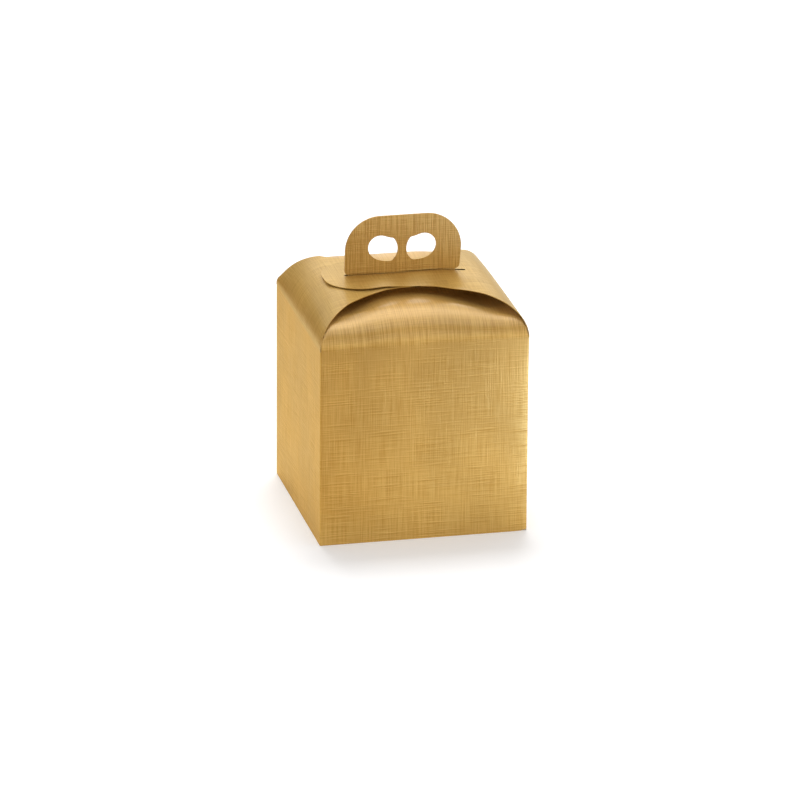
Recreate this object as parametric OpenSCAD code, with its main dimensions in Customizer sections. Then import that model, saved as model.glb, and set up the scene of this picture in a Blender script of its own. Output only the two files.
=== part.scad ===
// Carry carton for a panettone: a folded blank of thin card with bowed shoulders,
// two slotted locking flaps and a two-leaf handle that stands up through the slots.
// Origin: centre of the base, on the surface it stands on. Front is -Y, up is +Z.

/* [Body] */
// Width across the front
body_w = 200; // [170:1:260]
// Depth from front to back
body_d = 200; // [170:1:260]
// Height of the walls up to the shoulder crease
wall_h = 193; // [120:1:260]
// Thickness of the card
card_t = 0.6; // [0.4:0.05:0.8]
// Width of the strip that glues the side seam
glue_w = 18; // [10:1:30]

/* [Shoulders] */
// Outside radius of the outer locking flap's shoulder
shoulder_r = 38; // [32:1:44]
// How much tighter the front and back shoulders are bent
front_tighter = 5; // [3.5:0.5:10]
// Clear space between sheets that lie on each other
layer_gap = 0.3; // [0.25:0.05:0.6]
// Clear space at a crease between two panels
crease_gap = 0.2; // [0.1:0.05:0.4]
// Clear space between a shoulder's edge and its mitre at the crease
mitre_gap = 0.7; // [0.5:0.1:1.5]

/* [Locking flaps] */
// Width of the slotted tongue
tongue_w = 77.6; // [60:0.1:90]
// Distance of the outer tongue's end from the far wall
outer_tip_inset = 23.3; // [16:0.1:30]
// How far the inner tongue's end sits under the outer shoulder
inner_tip_seat = 1; // [0.5:0.1:2]
// Strip of card between the slot and the outer shoulder
slot_strip = 2; // [1:0.5:8]
// Corner radius of the tongue's round end
tongue_corner_r = 23.7; // [10:0.1:28]
// Distance from the wall at which the arched edge leaves the mitre
arch_inset = 28; // [20:1:34]
// How far the arch dips behind the tongue's edge
cusp_dip = 2.2; // [0.5:0.1:4]

/* [Handle] */
// Height of the handle above the outer tongue
handle_h = 57.5; // [50:0.5:70]
// Radius of the handle's top corners
handle_corner_r = 34; // [20:1:40]
// Radius of the handle's foot corners
handle_foot_r = 4.5; // [2:0.5:8]
// How much each side of the handle draws in towards its foot
foot_step = 0.8; // [0:0.1:2]
// How far the neck is set in from each side of the handle
neck_step = 4.7; // [3:0.1:8]
// Clear space at each end of the slot when the handle passes through
slot_end_clear = 3.8; // [2:0.1:8]
// Clear space on each side of the two leaves in the slot
slot_side_clear = 0.45; // [0.3:0.05:0.8]
// Clear space between the two leaves
leaf_gap = 0.3; // [0.2:0.05:0.6]
// Height of the handle crease above the outer tongue
fold_clear = 0.8; // [0.4:0.1:2]

/* [Finger holes] */
// Distance of each round lobe from the middle
lobe_x = 21.5; // [19:0.1:24]
// Height of each round lobe above the crease
lobe_z = 23; // [20:0.1:27]
// Radius of each round lobe
lobe_r = 12.2; // [10:0.1:13.5]
// Distance of the inner corners from the middle
inner_corner_x = 8.6; // [7:0.1:11]
// Height of the upper inner corner above the crease
inner_top_z = 32; // [29:0.1:34]
// Height of the lower inner corner above the crease
inner_low_z = 8.4; // [7:0.1:11]
// How far the inner side bows towards the middle
inner_bow = 4.7; // [2:0.1:5]

/* [Bottom] */
// Reach of the back bottom flap
bottom_back_reach = 95; // [85:1:110]
// Width of the locking tongue of the bottom
bottom_lock_w = 80; // [50:1:100]
// Length of the locking tongue of the bottom
bottom_lock_len = 22; // [15:1:35]
// Length over which the bottom tongue climbs through the flaps
bottom_ramp_len = 24; // [18:1:40]
// How much the bottom flaps narrow towards their free edge
bottom_taper = 26; // [10:1:35]
// Space between the tongue and the side flaps of the bottom
bottom_side_gap = 4; // [2:0.5:10]

/* [Hidden] */
$fn = 96;

half_w = body_w / 2;
half_d = body_d / 2;
eps = 1;

// Levels of the stacked sheets, above the shoulder crease
sheet_step = card_t + layer_gap;
inner_r = shoulder_r - sheet_step;
front_shoulder_r = shoulder_r - front_tighter;
plate_top = inner_r - card_t - 2 * layer_gap;

// Ends of the two tongues, past the middle
flat_half = half_w - shoulder_r;
outer_reach = half_w - outer_tip_inset;
inner_reach = flat_half + inner_tip_seat;

// Handle leaves and the slots they pass through
leaf_y = leaf_gap / 2;
slot_w = 2 * card_t + leaf_gap + 2 * slot_side_clear;
slot_half = flat_half - slot_strip;
handle_w = 2 * (slot_half - slot_end_clear);
handle_foot_w = handle_w - 2 * foot_step;
neck_w = handle_w - 2 * neck_step;
crease_z = wall_h + shoulder_r + fold_clear;

// Slope of the front and back plates from their shoulder up to the neck
plate_run = half_d - front_shoulder_r - leaf_y;
plate_reach = norm([plate_run, plate_top]);
plate_slope = atan2(plate_top, plate_run) - asin(front_shoulder_r / plate_reach);
plate_len = sqrt(plate_reach ^ 2 - front_shoulder_r ^ 2);
plate_half_w = slot_half - slot_w;

// Arched edge of the locking flaps: an arc that leaves the mitre at 45 degrees
tongue_half = tongue_w / 2;
arch_x = half_w - arch_inset;
arch_y = half_d - arch_inset;
arch_r = (arch_y - tongue_half + cusp_dip) / (1 - sqrt(0.5));
arch_cx = arch_x - arch_r * sqrt(0.5);
arch_cy = arch_y + arch_r * sqrt(0.5);
cusp_x = arch_cx + sqrt(arch_r ^ 2 - (arch_cy - tongue_half) ^ 2);

// Layers of the bottom, from the surface it stands on upwards
bottom_side_z = sheet_step;
bottom_back_z = 2 * sheet_step;
bottom_lock_z = 3 * sheet_step;
bottom_edge_y = half_d - bottom_back_reach;
bottom_side_reach = half_w - card_t - bottom_lock_w / 2 - bottom_side_gap;
ramp_angle = atan2(bottom_lock_z, bottom_ramp_len);

gold = [0.80, 0.62, 0.30];
gold_light = [0.86, 0.70, 0.40];
gold_dark = [0.66, 0.49, 0.22];
board = [0.90, 0.87, 0.80];

// A wall panel with mitred vertical edges, standing on the front side
module wall(span, offset_y) {
    linear_extrude(wall_h)
        polygon([
            [-span / 2, -offset_y],
            [span / 2, -offset_y],
            [span / 2 - card_t, -offset_y + card_t],
            [-span / 2 + card_t, -offset_y + card_t]
        ]);
}

// Everything under one face of a bent flap, whose bend has its centre at the origin
module under_bend(face_r, slope, run, past) {
    out = [-sin(slope), cos(slope)];
    along = [cos(slope), sin(slope)];
    corner = (1 - sin(slope)) / cos(slope);
    cut_r = face_r + eps;
    difference() {
        polygon([
            [-face_r, -past],
            [-face_r, face_r * corner],
            face_r * out + (run + past) * along,
            (run + past) * along - past * out,
            [0, -past]
        ]);
        difference() {
            polygon([[0, 0], [-cut_r, 0], [-cut_r, cut_r * corner], cut_r * out]);
            circle(face_r);
        }
    }
}

// Section of a bent flap: a bend from the crease, then a straight plate
module bend_section(r, slope, run) {
    translate([r, 0])
        difference() {
            under_bend(r, slope, run, 0);
            under_bend(r - card_t, slope, run, eps);
            translate([-r - eps, -eps]) square([2 * r, eps + crease_gap]);
        }
}

// Slot that lets both leaves of the handle through
module slot_plan() {
    straight = slot_half - slot_w / 2;
    square([2 * straight, slot_w], center = true);
    for (side = [-1, 1])
        translate([side * straight, 0]) circle(slot_w / 2);
}

// What is cut away to round a corner whose arc has its centre at the origin
module corner_cut(r) {
    difference() {
        square(r + eps);
        circle(r);
    }
}

// Plan of a locking flap: mitred shoulder, arched edges, tongue and slot
module locking_plan(reach) {
    difference() {
        polygon([
            [half_w, -half_d],
            [half_w, half_d],
            [arch_x, arch_y],
            [cusp_x, tongue_half],
            [-reach, tongue_half],
            [-reach, -tongue_half],
            [cusp_x, -tongue_half],
            [arch_x, -arch_y]
        ]);
        for (side = [0, 1])
            mirror([0, side]) {
                translate([arch_cx, arch_cy]) circle(arch_r);
                translate([tongue_corner_r - reach, tongue_half - tongue_corner_r])
                    rotate(90)
                    corner_cut(tongue_corner_r);
            }
        slot_plan();
    }
}

// Bent sheet of a locking flap on the right side, between two planes across it
module locking_sheet(r, reach, from_x, to_x) {
    intersection() {
        translate([half_w, 0, wall_h])
            mirror([1, 0, 0])
            rotate([90, 0, 0])
            linear_extrude(body_d, center = true)
            bend_section(r, 0, half_w + reach + eps - r);
        translate([0, 0, wall_h]) linear_extrude(shoulder_r + eps) intersection() {
            locking_plan(reach);
            translate([from_x, -half_d]) square([to_x - from_x, body_d]);
        }
    }
}

// Shoulder, plate and neck of the front flap
module handle_flap() {
    intersection() {
        translate([0, -half_d, wall_h])
            rotate([90, 0, 90])
            linear_extrude(body_w, center = true)
            bend_section(front_shoulder_r, plate_slope, plate_len);
        translate([0, 0, wall_h]) linear_extrude(shoulder_r)
            polygon([
                [-half_w + mitre_gap, -half_d],
                [half_w - mitre_gap, -half_d],
                [arch_x - mitre_gap, -arch_y],
                [plate_half_w, -tongue_half],
                [plate_half_w, -leaf_y],
                [-plate_half_w, -leaf_y],
                [-plate_half_w, -tongue_half],
                [-arch_x + mitre_gap, -arch_y]
            ]);
    }
    neck_foot = wall_h + plate_top - card_t / 2;
    translate([-neck_w / 2, -leaf_y - card_t, neck_foot])
        cube([neck_w, card_t, crease_z - neck_foot]);
}

// One finger hole, to the right of the middle
module finger_hole() {
    chord = inner_top_z - inner_low_z;
    bow_r = (chord ^ 2 / 4 + inner_bow ^ 2) / (2 * inner_bow);
    translate([lobe_x, lobe_z]) circle(lobe_r);
    polygon([
        [lobe_x, lobe_z + lobe_r],
        [inner_corner_x, inner_top_z],
        [inner_corner_x, inner_low_z],
        [lobe_x, lobe_z - lobe_r]
    ]);
    intersection() {
        translate([inner_corner_x - inner_bow + bow_r, inner_low_z + chord / 2]) circle(bow_r);
        translate([0, inner_low_z]) square([inner_corner_x, chord]);
    }
}

// Outline of a handle leaf with its two finger holes
module handle_outline() {
    top = handle_h - fold_clear;
    wide = handle_w / 2;
    foot = handle_foot_w / 2;
    corner_z = top - handle_corner_r;
    difference() {
        polygon([
            [-foot, 0],
            [foot, 0],
            [foot, handle_foot_r],
            [wide, corner_z],
            [wide, top],
            [-wide, top],
            [-wide, corner_z],
            [-foot, handle_foot_r]
        ]);
        for (side = [0, 1])
            mirror([side, 0]) {
                translate([wide - handle_corner_r, corner_z]) corner_cut(handle_corner_r);
                translate([foot - handle_foot_r, handle_foot_r]) rotate(-90) corner_cut(handle_foot_r);
                finger_hole();
            }
    }
}

// Leaf of the handle that belongs to the front flap
module handle_leaf() {
    translate([0, -leaf_y, crease_z + crease_gap])
        rotate([90, 0, 0])
        linear_extrude(card_t)
        handle_outline();
}

module front_wall() {
    color(gold) wall(body_w, half_d);
}

module back_wall() {
    color(gold) rotate(180) wall(body_w, half_d);
}

module left_wall() {
    color(gold_light) rotate(-90) wall(body_d, half_w);
}

module right_wall() {
    color(gold_light) rotate(90) wall(body_d, half_w);
}

// Strip on the left wall, glued to the inside of the back wall
module glue_strip() {
    taper = glue_w / 3;
    color(board)
        translate([-half_w + card_t, half_d - card_t, 0])
        rotate([90, 0, 0])
        linear_extrude(card_t)
        polygon([
            [0, bottom_lock_z + sheet_step],
            [glue_w, bottom_lock_z + sheet_step + taper],
            [glue_w, wall_h - taper],
            [0, wall_h]
        ]);
}

// Outermost bottom flap, whose tongue climbs over the back bottom flap
module bottom_front_flap() {
    wide = half_w - card_t;
    lock = bottom_lock_w / 2;
    plate_end = bottom_edge_y - bottom_ramp_len;
    ramp_run = bottom_ramp_len / cos(ramp_angle);
    color(gold_dark) union() {
        linear_extrude(card_t)
            polygon([
                [-wide, -half_d + card_t],
                [wide, -half_d + card_t],
                [lock + bottom_taper, plate_end],
                [-lock - bottom_taper, plate_end]
            ]);
        translate([-lock, plate_end, 0])
            rotate([ramp_angle, 0, 0])
            translate([0, -card_t, 0])
            cube([bottom_lock_w, ramp_run + card_t, card_t]);
        translate([-lock, bottom_edge_y - card_t, bottom_lock_z])
            cube([bottom_lock_w, bottom_lock_len + card_t, card_t]);
    }
}

// Innermost bottom flap, full width at the back wall
module bottom_back_flap() {
    wide = half_w - card_t;
    color(board)
        translate([0, 0, bottom_back_z])
        linear_extrude(card_t)
        polygon([
            [-wide + bottom_taper, bottom_edge_y + layer_gap],
            [wide - bottom_taper, bottom_edge_y + layer_gap],
            [wide, half_d - card_t],
            [-wide, half_d - card_t]
        ]);
}

// Side flap of the bottom on the right
module bottom_side_flap() {
    wide = half_d - card_t;
    translate([0, 0, bottom_side_z])
        linear_extrude(card_t)
        polygon([
            [half_w - card_t, -wide],
            [half_w - card_t, wide],
            [half_w - card_t - bottom_side_reach, wide - bottom_taper],
            [half_w - card_t - bottom_side_reach, -wide + bottom_taper]
        ]);
}

module bottom_right_flap() {
    color(gold) bottom_side_flap();
}

module bottom_left_flap() {
    color(gold) mirror([1, 0, 0]) bottom_side_flap();
}

// Shoulder of the outer locking flap, on the right
module outer_flap() {
    color(gold) locking_sheet(shoulder_r, outer_reach, arch_x, half_w);
}

// Tongue of the outer locking flap, on top of everything
module outer_tongue() {
    color(gold_light) locking_sheet(shoulder_r, outer_reach, -outer_reach, arch_x);
}

// Shoulder of the inner locking flap, on the left
module inner_flap() {
    color(gold) mirror([1, 0, 0]) locking_sheet(inner_r, inner_reach, arch_x, half_w);
}

// Tongue of the inner locking flap, under the outer one
module inner_tongue() {
    color(gold_light) mirror([1, 0, 0]) locking_sheet(inner_r, inner_reach, -inner_reach, arch_x);
}

module front_flap() {
    color(gold_dark) handle_flap();
}

module back_flap() {
    color(gold_dark) rotate(180) handle_flap();
}

module front_handle() {
    color(gold_dark) handle_leaf();
}

module back_handle() {
    color(gold_dark) rotate(180) handle_leaf();
}

front_wall();
back_wall();
left_wall();
right_wall();
glue_strip();
bottom_front_flap();
bottom_back_flap();
bottom_left_flap();
bottom_right_flap();
outer_flap();
outer_tongue();
inner_flap();
inner_tongue();
front_flap();
back_flap();
front_handle();
back_handle();
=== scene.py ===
"""Dresses the folded carry carton: embossed gold card, bare board inside, soft studio light."""

import logging
import math
from dataclasses import dataclass
from enum import Enum
from typing import Callable, Optional

import bpy
from mathutils import Matrix, Vector
from mathutils.geometry import interpolate_bezier


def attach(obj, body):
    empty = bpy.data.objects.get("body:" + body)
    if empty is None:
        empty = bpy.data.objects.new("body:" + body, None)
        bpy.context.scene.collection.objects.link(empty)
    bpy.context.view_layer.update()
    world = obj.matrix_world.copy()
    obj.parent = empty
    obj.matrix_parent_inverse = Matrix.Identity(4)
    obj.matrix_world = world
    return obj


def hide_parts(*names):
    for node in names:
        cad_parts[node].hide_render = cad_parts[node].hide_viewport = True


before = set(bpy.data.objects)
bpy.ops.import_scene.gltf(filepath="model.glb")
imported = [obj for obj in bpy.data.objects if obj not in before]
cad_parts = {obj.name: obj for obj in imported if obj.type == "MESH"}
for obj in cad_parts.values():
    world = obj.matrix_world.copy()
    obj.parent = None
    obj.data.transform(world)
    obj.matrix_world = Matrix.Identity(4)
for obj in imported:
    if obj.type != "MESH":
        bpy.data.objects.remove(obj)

LOG = logging.getLogger("carton")
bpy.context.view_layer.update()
UV_NAME = "sheet"
Point = tuple[float, float]
Triple = tuple[float, float, float]
Piece = bpy.types.Object
Socket = bpy.types.NodeSocket


class Side(Enum):
    """The four sides of the carton, with the turn that carries the front side there."""

    FRONT = 0.0
    RIGHT = 90.0
    BACK = 180.0
    LEFT = -90.0


class Slot(Enum):
    """Places of the three surfaces of a card sheet among its material slots."""

    FACE = 0
    INSIDE = 1
    CUT = 2


@dataclass(frozen=True)
class CartonSizes:
    """Sizes of the carton in metres, as in the solids."""

    half: float = 0.100
    wall_h: float = 0.193
    card: float = 0.0006
    outer_r: float = 0.038
    inner_r: float = 0.0371
    front_r: float = 0.033
    plate_top: float = 0.0359
    crease_gap: float = 0.00002
    mitre_gap: float = 0.0007
    leaf_y: float = 0.00015
    tongue_half: float = 0.0388
    outer_reach: float = 0.0762
    inner_reach: float = 0.063
    tongue_corner: float = 0.0237
    arch_inset: float = 0.028
    cusp_dip: float = 0.0022
    slot_w: float = 0.0038
    neck_half: float = 0.0515
    plate_half: float = 0.0576
    fold_z: float = 0.2318
    handle_half: float = 0.0562
    handle_foot: float = 0.0554
    handle_top: float = 0.2885
    handle_corner: float = 0.034
    foot_corner: float = 0.0045
    spare: float = 0.001

    @property
    def arch_start(self) -> float:
        """Distance from the middle to where the arch leaves the mitre."""
        return self.half - self.arch_inset

    @property
    def arch_r(self) -> float:
        """Radius of the arch, which leaves the mitre at 45 degrees."""
        return (self.arch_start - self.tongue_half + self.cusp_dip) / (1 - math.sqrt(0.5))

    @property
    def arch_offset(self) -> float:
        """Distance along x, and along y, from the arch's start to its centre."""
        return self.arch_r * math.sqrt(0.5)


SIZES = CartonSizes()


@dataclass(frozen=True)
class Span:
    """A range over which something comes in smoothly."""

    low: float
    high: float

    def at(self, value: float) -> float:
        """Goes smoothly from 0 at the low end to 1 at the high end."""
        t = min(1.0, max(0.0, (value - self.low) / (self.high - self.low)))
        return t * t * (3 - 2 * t)


class Bench:
    """Modelling steps, each done on one piece at a time."""

    @staticmethod
    def mode(name: str) -> None:
        """Goes into edit or object mode."""
        bpy.ops.object.mode_set(mode=name)

    @staticmethod
    def clear() -> None:
        """Leaves nothing selected."""
        if bpy.context.object and bpy.context.object.mode != "OBJECT":
            Bench.mode("OBJECT")
        bpy.ops.object.select_all(action="DESELECT")

    @classmethod
    def take(cls, piece: Piece) -> None:
        """Selects one piece and makes it active.

        Args:
            piece: Piece to work on.
        """
        cls.clear()
        piece.select_set(True)
        bpy.context.view_layer.objects.active = piece

    @classmethod
    def apply(cls, piece: Piece) -> None:
        """Puts a piece's place, turn and scale into its mesh."""
        cls.take(piece)
        bpy.ops.object.transform_apply(location=True, rotation=True, scale=True)

    @staticmethod
    def named(name: str) -> Piece:
        """Names the primitive that was just added, and gives it."""
        bpy.context.object.name = bpy.context.object.data.name = name
        return bpy.context.object

    @classmethod
    def block(cls, name: str, place: Triple, size: Triple) -> Piece:
        """Adds a box.

        Args:
            name: Name of the box.
            place: Its middle.
            size: Its size.

        Returns:
            The box.
        """
        cls.clear()
        bpy.ops.mesh.primitive_cube_add(size=1.0, location=place)
        piece = cls.named(name)
        piece.scale = size
        cls.apply(piece)
        return piece

    @classmethod
    def blank(cls, name: str, width: float, length: float, across: int, along: int) -> Piece:
        """Adds a sheet that stands on its crease at the origin and faces the front.

        Args:
            name: Name of the sheet.
            width: Size along the crease.
            length: Size away from the crease.
            across: Faces along the crease.
            along: Faces away from the crease.

        Returns:
            The flat sheet, with its UV map in metres.
        """
        cls.clear()
        bpy.ops.mesh.primitive_grid_add(x_subdivisions=across, y_subdivisions=along, size=1.0,
                                        location=(0, 0, length / 2), rotation=(math.pi / 2, 0, 0))
        sheet = cls.named(name)
        sheet.scale = (width, length, 1.0)
        cls.apply(sheet)
        layer = sheet.data.uv_layers[0]
        layer.name = UV_NAME
        for loop in layer.data:
            loop.uv = ((loop.uv.x - 0.5) * width, loop.uv.y * length)
        return sheet

    @classmethod
    def prism(cls, name: str, outline: list[Point], low: float, high: float) -> Piece:
        """Adds an upright prism over a plan outline.

        Args:
            name: Name of the prism.
            outline: Corners in plan, anticlockwise.
            low: Height of its lower face.
            high: Height of its upper face.

        Returns:
            The prism.
        """
        cls.clear()
        bpy.ops.mesh.primitive_circle_add(vertices=len(outline), radius=1.0, fill_type="NGON")
        piece = cls.named(name)
        for vert, (x, y) in zip(piece.data.vertices, outline):
            vert.co = (x, y, low)
        cls.mode("EDIT")
        bpy.ops.mesh.select_all(action="SELECT")
        bpy.ops.mesh.extrude_region_move(TRANSFORM_OT_translate={"value": (0, 0, high - low)})
        bpy.ops.mesh.select_all(action="SELECT")
        bpy.ops.mesh.normals_make_consistent(inside=False)
        cls.mode("OBJECT")
        return piece

    @classmethod
    def pick(cls, piece: Piece, kind: str, test: Callable[..., bool]) -> None:
        """Goes into edit mode with the edges or faces selected whose corners pass a test.

        Args:
            piece: Piece to work on.
            kind: EDGE or FACE.
            test: Takes the corners of an edge or a face and says whether it is selected.
        """
        cls.take(piece)
        cls.mode("EDIT")
        bpy.ops.mesh.select_mode(type=kind)
        bpy.ops.mesh.select_all(action="DESELECT")
        cls.mode("OBJECT")
        verts = piece.data.vertices
        for part in piece.data.edges if kind == "EDGE" else piece.data.polygons:
            part.select = test(*(verts[index].co for index in part.vertices))
        cls.mode("EDIT")

    @classmethod
    def round_edges(cls, piece: Piece, test: Callable[..., bool], radius: float, segments: int) -> None:
        """Bevels the edges whose two ends pass a test.

        Args:
            piece: Piece to round.
            test: Takes an edge's two ends and says whether it is rounded.
            radius: Radius of the rounding.
            segments: Faces over the rounding.
        """
        cls.pick(piece, "EDGE", test)
        bpy.ops.mesh.bevel(offset=radius, offset_type="OFFSET", segments=segments, affect="EDGES")
        cls.mode("OBJECT")

    @classmethod
    def modify(cls, piece: Piece, kind: str, **settings: object) -> None:
        """Adds a modifier with its settings and applies it.

        Args:
            piece: Piece to change.
            kind: Type of the modifier.
            **settings: Values of the modifier's properties.
        """
        cls.take(piece)
        mod = piece.modifiers.new(kind.lower(), kind)
        for key, value in settings.items():
            setattr(mod, key, value)
        bpy.ops.object.modifier_apply(modifier=mod.name)

    @classmethod
    def cut(cls, piece: Piece, tool: Piece, operation: str) -> None:
        """Cuts a piece with a tool, or joins the two, and deletes the tool."""
        cls.modify(piece, "BOOLEAN", operation=operation, object=tool, solver="EXACT",
                   material_mode="TRANSFER")
        bpy.data.objects.remove(tool)

    @classmethod
    def thicken(cls, piece: Piece) -> None:
        """Gives a sheet the card's thickness, with bare board inside and at its rim."""
        cls.modify(piece, "SOLIDIFY", thickness=SIZES.card, offset=-1.0, use_even_offset=True,
                   material_offset=Slot.INSIDE.value, material_offset_rim=Slot.CUT.value)

    @staticmethod
    def settle(piece: Piece, move: Callable[[Vector], Vector]) -> None:
        """Shapes a sheet by hand.

        Args:
            piece: Piece to shape.
            move: Takes each of its points to its place.
        """
        for vert in piece.data.vertices:
            vert.co = move(vert.co)
        piece.data.update()

    @staticmethod
    def lay_uv(piece: Piece, place: Callable[[Vector, Vector], Point]) -> None:
        """Gives a piece a UV map in metres.

        Args:
            piece: Piece to map.
            place: Takes a corner's place and its face's normal, and gives its place on the sheet.
        """
        mesh = piece.data
        layer = mesh.uv_layers[0] if mesh.uv_layers else mesh.uv_layers.new(name=UV_NAME)
        layer.name = UV_NAME
        for poly in mesh.polygons:
            for index in poly.loop_indices:
                co = mesh.vertices[mesh.loops[index].vertex_index].co
                layer.data[index].uv = place(co, poly.normal)

    @classmethod
    def smooth(cls, piece: Piece, angle: float) -> None:
        """Shades a piece smooth, apart from edges sharper than the angle in degrees."""
        cls.take(piece)
        bpy.ops.object.shade_smooth_by_angle(angle=math.radians(angle))


class Wiring:
    """A node tree under construction."""

    def __init__(self, tree: bpy.types.NodeTree) -> None:
        """Starts with an empty tree."""
        self.tree = tree
        tree.nodes.clear()

    @classmethod
    def material(cls, name: str) -> tuple[bpy.types.Material, "Wiring"]:
        """Makes a material.

        Args:
            name: Its name.

        Returns:
            The material and its empty tree.
        """
        mat = bpy.data.materials.new(name)
        mat.use_nodes = True
        return mat, cls(mat.node_tree)

    def add(self, kind: str, inputs: Optional[dict] = None, **settings: object) -> bpy.types.Node:
        """Adds a node.

        Args:
            kind: Type of the node.
            inputs: Values or sockets of its inputs, by name or number.
            **settings: Values of the node's properties.

        Returns:
            The node.
        """
        node = self.tree.nodes.new(kind)
        for key, value in settings.items():
            setattr(node, key, value)
        for key, source in (inputs or {}).items():
            if isinstance(source, Socket):
                self.tree.links.new(source, node.inputs[key])
            else:
                node.inputs[key].default_value = source
        return node

    def math(self, operation: str, *values: object, clamp: bool = False) -> Socket:
        """Adds a sum of up to three values or sockets, kept between 0 and 1 if clamped."""
        return self.add("ShaderNodeMath", dict(enumerate(values)), operation=operation,
                        use_clamp=clamp).outputs[0]

    def vector(self, x: object, y: object, z: object = 0.0) -> Socket:
        """Joins three values into a vector."""
        return self.add("ShaderNodeCombineXYZ", {0: x, 1: y, 2: z}).outputs[0]

    def split(self, vector: Socket) -> tuple[Socket, Socket]:
        """Gives the first two values of a vector."""
        parts = self.add("ShaderNodeSeparateXYZ", {0: vector}).outputs
        return parts[0], parts[1]

    def noise(self, where: Socket, scale: float, detail: float, roughness: float = 0.5,
              dimensions: str = "2D") -> Socket:
        """Adds a noise around a half, with a scale, octaves and the finer octaves' weight."""
        values = {"Vector": where, "Scale": scale, "Detail": detail, "Roughness": roughness}
        return self.add("ShaderNodeTexNoise", values, noise_dimensions=dimensions).outputs[0]

    def ramp(self, value: object, low: float, high: float, to_low: float = 0.0,
             to_high: float = 1.0) -> Socket:
        """Maps a value smoothly from low and high to to_low and to_high."""
        values = dict(enumerate((value, low, high, to_low, to_high)))
        return self.add("ShaderNodeMapRange", values, interpolation_type="SMOOTHSTEP").outputs[0]

    def mix(self, factor: object, a: object, b: object, blend: str = "MIX") -> Socket:
        """Mixes two colours, with the factor as the share of the second."""
        return self.add("ShaderNodeMix", {"Factor": factor, "A": a, "B": b}, data_type="RGBA",
                        blend_type=blend).outputs["Result"]

    def relief(self, height: Socket, strength: float, depth: float) -> Socket:
        """Adds a bump of that strength and depth, and gives its normal."""
        values = {"Strength": strength, "Distance": depth, "Height": height}
        return self.add("ShaderNodeBump", values).outputs[0]

    def show(self, shader: bpy.types.Node, kind: str = "ShaderNodeOutputMaterial") -> None:
        """Sends a shader to the tree's output."""
        self.add(kind, {"Surface": shader.outputs[0]})


class Effect:
    """A shader group that is built once: a place, some strengths and its results."""

    NAME: str
    PLACE: str
    STRENGTHS: tuple[str, ...] = ()
    RESULTS: tuple[str, ...]
    wire: Callable[[Wiring, bpy.types.NodeOutputs], tuple[Socket, ...]]

    @classmethod
    def tree(cls) -> bpy.types.NodeTree:
        """Gives the group, and builds it the first time.

        Returns:
            The group.
        """
        tree = bpy.data.node_groups.get(cls.NAME)
        if tree:
            return tree
        tree = bpy.data.node_groups.new(cls.NAME, "ShaderNodeTree")
        tree.interface.new_socket(cls.PLACE, in_out="INPUT", socket_type="NodeSocketVector")
        for names, way in ((cls.STRENGTHS, "INPUT"), (cls.RESULTS, "OUTPUT")):
            for name in names:
                tree.interface.new_socket(name, in_out=way, socket_type="NodeSocketFloat")
        net = Wiring(tree)
        results = cls.wire(net, net.add("NodeGroupInput").outputs)
        net.add("NodeGroupOutput", dict(zip(cls.RESULTS, results)))
        return tree


class LinenEmboss(Effect):
    """Shader group: the linen pattern that is pressed into the card, with a mask of its grooves that also
    carries painted shade.
    """

    NAME = "linen_emboss"
    PLACE = "Sheet"
    STRENGTHS = ("Weft", "Warp", "Slub")
    RESULTS = ("Height", "GrooveAndShade", "Tone")
    # Shift across the threads, in millimetres, of the painted shadow line under each slub.
    SHADE_BELOW = 1.1

    @classmethod
    def wire(cls, net: Wiring, given: bpy.types.NodeOutputs) -> tuple[Socket, ...]:
        """Wires the linen.

        Args:
            net: The group's tree.
            given: The group's inputs.

        Returns:
            A height, a mask of the grooves that also paints shade (dark low in the cloth and in a line under
            each slub, light on the slubs) and a slow change of tone.
        """
        u, v = (net.math("MULTIPLY", part, 1000.0) for part in net.split(given["Sheet"]))

        def patches(wide: float, high: float, detail: float) -> Socket:
            """Slow noise with patches of that size in millimetres."""
            place = net.vector(net.math("MULTIPLY", u, 1 / wide), net.math("MULTIPLY", v, 1 / high))
            return net.noise(place, 1.0, detail)

        def threads(along: Socket, across: Socket, length: float, pitch: float, start: float,
                    detail: float) -> Socket:
            """Noise drawn out along threads of that length and pitch, in millimetres."""
            place = net.vector(net.math("MULTIPLY_ADD", along, 1.0 / length, start),
                               net.math("MULTIPLY_ADD", across, 1.0 / pitch, start))
            return net.noise(place, 1.0, detail, 0.55)

        def fine(drawn: Socket, strength: str, *patchy: float) -> Socket:
            """Fine threads of a strength that changes from patch to patch."""
            level = net.math("MULTIPLY", net.math("SUBTRACT", drawn, 0.5), given[strength])
            return net.math("MULTIPLY", level, net.math("MULTIPLY_ADD", patch, *patchy))

        patch = net.ramp(patches(30.0, 40.0, 1.5), 0.36, 0.64)
        cloth = net.math("ADD", fine(threads(u, v, 34.0, 0.80, 3.7, 1.0), "Weft", -0.3, 1.0),
                         fine(threads(v, u, 38.0, 0.85, 9.1, 1.0), "Warp", 0.35, 0.78))
        # Slub lines, and a copy moved across the threads that paints a shadow line under each slub.
        weft, below = (net.ramp(threads(u, place, 46.0, 1.0, 41.3, 0.5), 0.60, 0.73)
                       for place in (v, net.math("ADD", v, cls.SHADE_BELOW)))
        warp = net.ramp(threads(v, u, 40.0, 0.9, 17.9, 0.5), 0.62, 0.78)
        slub = net.math("ADD", weft, net.math("MULTIPLY", warp, 0.4))
        slub = net.math("MULTIPLY", slub, given["Slub"])
        shade = net.math("MULTIPLY", net.math("MULTIPLY", below, given["Slub"]), 0.55)
        # Painted shade: low parts of the cloth and the band under each slub go dark, and the slubs are
        # lightened as a painted highlight.
        groove_and_shade = net.math("ADD", net.ramp(cloth, -0.22, 0.18, 1.0, 0.0), shade, clamp=True)
        groove_and_shade = net.math("SUBTRACT", groove_and_shade, net.math("MULTIPLY", slub, 0.6), clamp=True)
        return net.math("ADD", cloth, slub), groove_and_shade, patches(70.0, 90.0, 2.0)


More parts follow.
